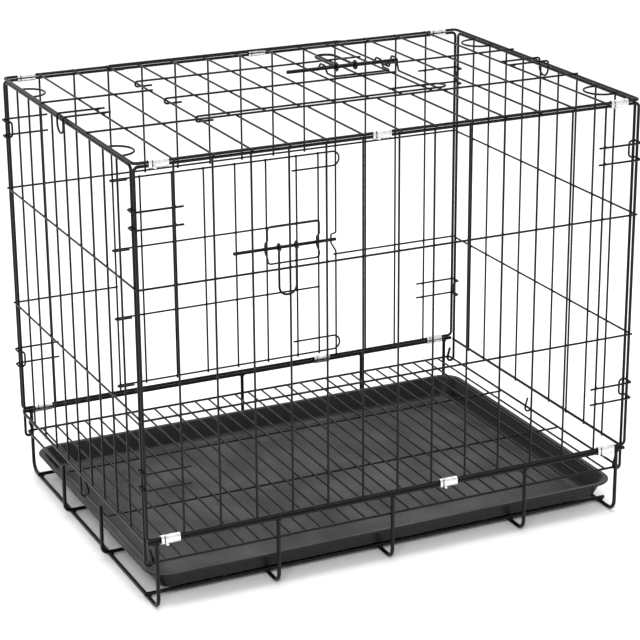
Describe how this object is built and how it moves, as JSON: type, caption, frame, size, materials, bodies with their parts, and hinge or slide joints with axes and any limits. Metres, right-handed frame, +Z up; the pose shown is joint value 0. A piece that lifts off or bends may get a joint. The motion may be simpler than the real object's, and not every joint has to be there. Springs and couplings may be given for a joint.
{
  "type": "wire dog crate",
  "caption": "Folding wire dog crate of clipped mesh panels, with a rear door and a roof door on slide bolts, a raised wire floor and a slide-out tray.",
  "frame": {"origin": "on the surface it stands on, under the middle of the crate's bounding box", "axes": "+X along the crate, towards the end that the tray slides out of; +Y to the rear, where the side door is; +Z up"},
  "size_m": [0.621, 0.4498, 0.5232],
  "materials": {
    "black_wire": "semi-gloss black coat baked on steel wire",
    "zinc_sheet": "bright zinc-plated sheet, folded and crimped",
    "black_plastic": "moulded black plastic with a fine texture"
  },
  "bodies": {
    "base": {"front_rail": "black_wire", "back_rail": "black_wire", "leg_wire_1": "black_wire", "leg_wire_2": "black_wire", "leg_wire_3": "black_wire", "leg_wire_4": "black_wire", "leg_wire_5": "black_wire", "side_runner_front": "black_wire", "side_runner_back": "black_wire", "hooked_runner_front": "black_wire", "hooked_runner_back": "black_wire", "floor_grate": "black_wire", "front_panel": "black_wire", "back_panel": "black_wire", "rear_catch_wire": "black_wire", "top_panel": "black_wire", "roof_catch_wire": "black_wire", "corner_hook_front_left_upper": "black_wire", "corner_hook_front_left_lower": "black_wire", "corner_hook_front_right_upper": "black_wire", "corner_hook_front_right_lower": "black_wire", "corner_hook_back_left_upper": "black_wire", "corner_hook_back_left_lower": "black_wire", "corner_hook_back_right_upper": "black_wire", "corner_hook_back_right_lower": "black_wire", "top_hook_left": "black_wire", "top_hook_right": "black_wire", "clip_front_top_left": "zinc_sheet", "clip_front_top_middle": "zinc_sheet", "clip_front_top_right": "zinc_sheet", "clip_front_base_left": "zinc_sheet", "clip_front_base_middle": "zinc_sheet", "clip_front_base_right": "zinc_sheet", "clip_back_top_left": "zinc_sheet", "clip_back_top_middle": "zinc_sheet", "clip_back_top_right": "zinc_sheet", "clip_back_base_left": "zinc_sheet", "clip_back_base_middle": "zinc_sheet", "clip_back_base_right": "zinc_sheet"},
    "tray": {"tray": "black_plastic"},
    "left_end": {"left_end_panel": "black_wire", "left_hand_loop_front": "black_wire", "left_hand_loop_back": "black_wire"},
    "right_end": {"right_end_panel": "black_wire", "right_hand_loop_front": "black_wire", "right_hand_loop_back": "black_wire"},
    "rear_door": {"rear_door": "black_wire", "rear_latch_bracket": "black_wire"},
    "rear_bolt": {"rear_bolt": "black_wire"},
    "rear_handle": {"rear_bolt_handle": "black_wire"},
    "roof_door": {"roof_door": "black_wire", "roof_latch_bracket": "black_wire"},
    "roof_bolt": {"roof_bolt": "black_wire"},
    "roof_handle": {"roof_bolt_handle": "black_wire"}
  },
  "joints": [
    {"name": "tray_slide", "type": "slide", "parent": "base", "child": "tray", "axis": [1, 0, 0], "range_m": [0, 0.6]},
    {"name": "left_end_fold", "type": "hinge", "parent": "base", "child": "left_end", "pos_m": [-0.3005, 0, 0.057], "axis": [0, 1, 0], "range_deg": [0, 84]},
    {"name": "right_end_fold", "type": "hinge", "parent": "base", "child": "right_end", "pos_m": [0.3005, 0, 0.057], "axis": [0, -1, 0], "range_deg": [0, 68]},
    {"name": "rear_door_swing", "type": "hinge", "parent": "base", "child": "rear_door", "pos_m": [-0.17429, 0.20968, 0.23], "axis": [0, 0, 1], "range_deg": [0, 165]},
    {"name": "roof_door_swing", "type": "hinge", "parent": "base", "child": "roof_door", "pos_m": [-0.17429, 0.06, 0.508], "axis": [0, -1, 0], "range_deg": [0, 165]},
    {"name": "rear_bolt_slide", "type": "slide", "parent": "rear_door", "child": "rear_bolt", "axis": [-1, 0, 0], "range_m": [0, 0.014]},
    {"name": "roof_bolt_slide", "type": "slide", "parent": "roof_door", "child": "roof_bolt", "axis": [-1, 0, 0], "range_m": [0, 0.014]},
    {"name": "rear_handle_swing", "type": "hinge", "parent": "rear_bolt", "child": "rear_handle", "pos_m": [0.066, 0.21923, 0.24394], "axis": [1, 0, 0], "range_deg": [0, 170]},
    {"name": "roof_handle_swing", "type": "hinge", "parent": "roof_bolt", "child": "roof_handle", "pos_m": [0.066, 0.04648, 0.51755], "axis": [1, 0, 0], "range_deg": [0, 170]}
  ]
}
